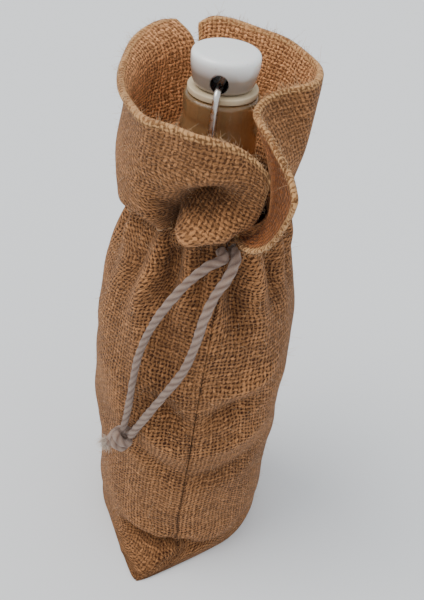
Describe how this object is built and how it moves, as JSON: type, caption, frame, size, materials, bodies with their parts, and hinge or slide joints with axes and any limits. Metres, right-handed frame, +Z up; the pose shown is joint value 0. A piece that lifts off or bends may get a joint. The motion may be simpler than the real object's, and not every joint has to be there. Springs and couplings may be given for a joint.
{
  "type": "drawstring bottle bag",
  "caption": "Jute drawstring bottle bag standing with a swing-top bottle in it, its frill gathered round the neck by a tied cotton cord.",
  "frame": {"origin": "middle of the flat base, where the bag stands on the floor", "axes": "+Z up along the bottle; -Y towards the side with the cord exit and front side seam; +X to the right seen from there"},
  "size_m": [0.0958, 0.1257, 0.2698],
  "materials": {
    "jute": "natural plain-weave jute, matt and hairy",
    "jute_hem": "jute folded double, matt",
    "jute_seam": "jute seam allowance, matt",
    "jute_thread": "sewing thread, matt",
    "cotton_cord": "twisted cotton, undyed grey",
    "glass": "amber glass, glossy",
    "porcelain": "white glaze, glossy",
    "gasket_rubber": "cream rubber, satin",
    "steel_wire": "bright drawn wire"
  },
  "bodies": {
    "bag": {"left_panel": "jute", "right_panel": "jute", "front_seam": "jute_seam", "back_seam": "jute_seam", "bottom_seam": "jute_seam", "left_casing_stitching": "jute_thread", "right_casing_stitching": "jute_thread", "drawstring_loop": "cotton_cord"},
    "left_frill": {"left_frill": "jute_hem"},
    "right_frill": {"right_frill": "jute_hem"},
    "cord_ends": {"drawstring_left_end": "cotton_cord", "drawstring_right_end": "cotton_cord", "drawstring_knot": "cotton_cord"},
    "bottle": {"bottle": "glass"},
    "lever": {"lever_wire": "steel_wire"},
    "bail": {"bail_wire": "steel_wire"},
    "stopper": {"stopper_head": "porcelain", "gasket": "gasket_rubber"}
  },
  "joints": [
    {"name": "bottle_lift", "type": "slide", "parent": "bag", "child": "bottle", "axis": [0, 0, 1], "range_m": [0, 0.018]},
    {"name": "lever_swing", "type": "hinge", "parent": "bottle", "child": "lever", "pos_m": [0, 0, 0.228], "axis": [0.1045, 0.9945, 0], "range_deg": [0, 120]},
    {"name": "bail_turn", "type": "hinge", "parent": "lever", "child": "bail", "pos_m": [0, 0, 0.219], "axis": [0.1045, 0.9945, 0], "range_deg": [-93, 0]},
    {"name": "stopper_turn", "type": "hinge", "parent": "bail", "child": "stopper", "pos_m": [0, 0, 0.25752], "axis": [0.1045, 0.9945, 0], "range_deg": [-28.1, 0]},
    {"name": "left_frill_bend", "type": "hinge", "parent": "bag", "child": "left_frill", "pos_m": [-0.034, 0, 0.2045], "axis": [0, -1, 0], "range_deg": [0, 12]},
    {"name": "right_frill_bend", "type": "hinge", "parent": "bag", "child": "right_frill", "pos_m": [0.0355, 0, 0.2045], "axis": [0, 1, 0], "range_deg": [0, 10]},
    {"name": "cord_swing", "type": "hinge", "parent": "bag", "child": "cord_ends", "pos_m": [0.01071, -0.03875, 0.199], "axis": [-0.9639, -0.2664, 0], "range_deg": [0, 20]}
  ],
  "couplings": [
    {"joint": "bail_turn", "follows": "lever_swing", "ratio": -0.76636},
    {"joint": "stopper_turn", "follows": "lever_swing", "ratio": -0.23364}
  ]
}
